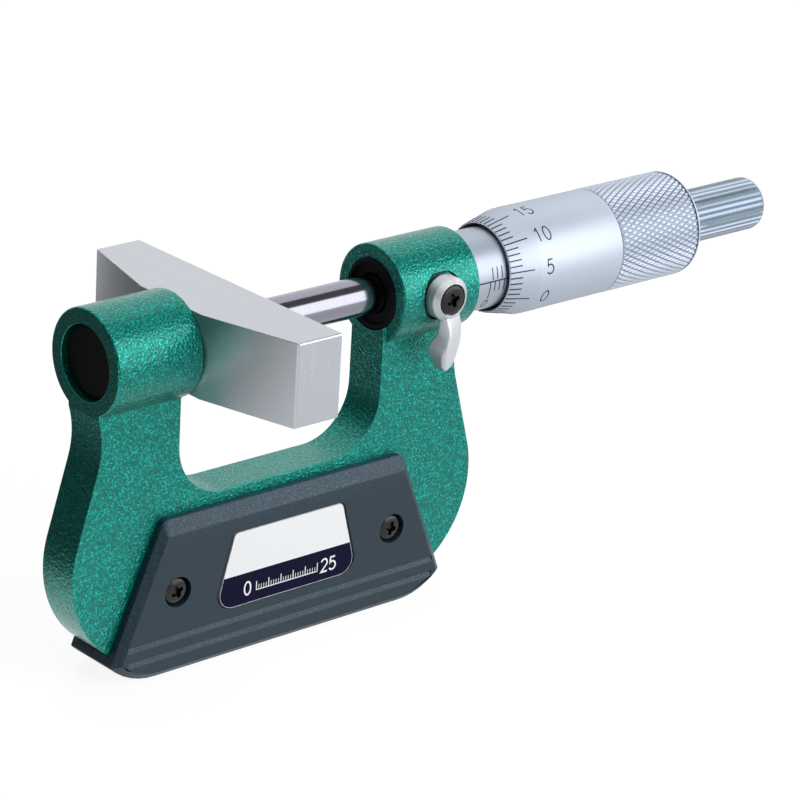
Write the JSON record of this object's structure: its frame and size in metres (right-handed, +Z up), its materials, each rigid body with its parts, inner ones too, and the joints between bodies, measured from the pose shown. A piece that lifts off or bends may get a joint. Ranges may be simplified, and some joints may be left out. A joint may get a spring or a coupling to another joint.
{
  "type": "large anvil micrometer",
  "caption": "Outside micrometer, 0 to 25 mm, with a broad flat anvil, a painted U frame, a lock lever, a graduated thimble and a ratchet stop.",
  "frame": {"origin": "centre of the anvil's measuring face, on the spindle's axis", "axes": "+X along the spindle from the anvil towards the thimble, +Z up from the frame's base, -Y the front with the lock lever and the label"},
  "size_m": [0.1473, 0.05, 0.0618],
  "materials": {
    "green_paint": "hammered metallic green enamel on a steel frame",
    "ground_steel": "hardened steel, finely ground and lapped",
    "carbide": "hard metal tip, lapped",
    "satin_chrome": "satin chrome plating on steel, with filled graduations",
    "knob_chrome": "satin chrome plating, fluted",
    "fastener_steel": "plain turned steel",
    "lever_metal": "satin silver plating on a cast lever",
    "brass": "turned brass",
    "black_steel": "black oxide steel",
    "black_plastic": "smooth black moulding",
    "cover_plastic": "fine-grained dark slate moulding",
    "label": "printed plate, white above dark blue"
  },
  "bodies": {
    "frame": {"frame": "green_paint", "anvil": "ground_steel", "anvil_screw": "fastener_steel", "anvil_plug": "black_plastic", "spindle_ring": "black_plastic", "inner_sleeve": "fastener_steel", "taper_nut": "fastener_steel", "front_cover": "cover_plastic", "rear_cover": "cover_plastic", "front_cover_screws": "black_steel", "rear_cover_screws": "black_steel", "label_plate": "label", "lock_washer": "fastener_steel"},
    "sleeve": {"outer_sleeve": "satin_chrome"},
    "lock_pad": {"lock_pad": "brass"},
    "lock_lever": {"lock_lever": "lever_metal", "lock_stud": "fastener_steel", "lock_screw": "black_steel"},
    "spindle_tip": {"spindle_tip": "carbide"},
    "spindle": {"spindle": "ground_steel", "thimble": "satin_chrome", "ratchet_post": "fastener_steel", "ratchet_screw": "fastener_steel"},
    "ratchet": {"ratchet_knob": "knob_chrome", "ratchet_spring": "fastener_steel"},
    "clutch": {"ratchet_clutch": "fastener_steel"}
  },
  "joints": [
    {"name": "spindle_travel", "type": "slide", "parent": "frame", "child": "spindle_tip", "axis": [1, 0, 0], "range_m": [-0.00354, 0.02146]},
    {"name": "thimble_turn", "type": "hinge", "parent": "spindle_tip", "child": "spindle", "pos_m": [0.05, 0, 0], "axis": [1, 0, 0], "range_deg": [-2550, 15452]},
    {"name": "ratchet_turn", "type": "hinge", "parent": "spindle", "child": "ratchet", "pos_m": [0.1, 0, 0], "axis": [1, 0, 0], "continuous": true},
    {"name": "ratchet_click", "type": "slide", "parent": "ratchet", "child": "clutch", "axis": [1, 0, 0], "range_m": [0, 0.0004], "stiffness_N_per_m": 300},
    {"name": "sleeve_zero", "type": "hinge", "parent": "frame", "child": "sleeve", "pos_m": [0.05, 0, 0], "axis": [1, 0, 0], "range_deg": [-15, 15]},
    {"name": "lock_pad_travel", "type": "slide", "parent": "frame", "child": "lock_pad", "axis": [0, 1, 0], "range_m": [0, 0.0001]},
    {"name": "lever_swing", "type": "hinge", "parent": "lock_pad", "child": "lock_lever", "pos_m": [0.0357, -0.009, 0.0004], "axis": [0, 1, 0], "range_deg": [0, 45.1]}
  ],
  "couplings": [
    {"joint": "thimble_turn", "follows": "spindle_travel", "rad_per_m": 12566},
    {"joint": "lever_swing", "follows": "lock_pad_travel", "rad_per_m": 7854}
  ]
}
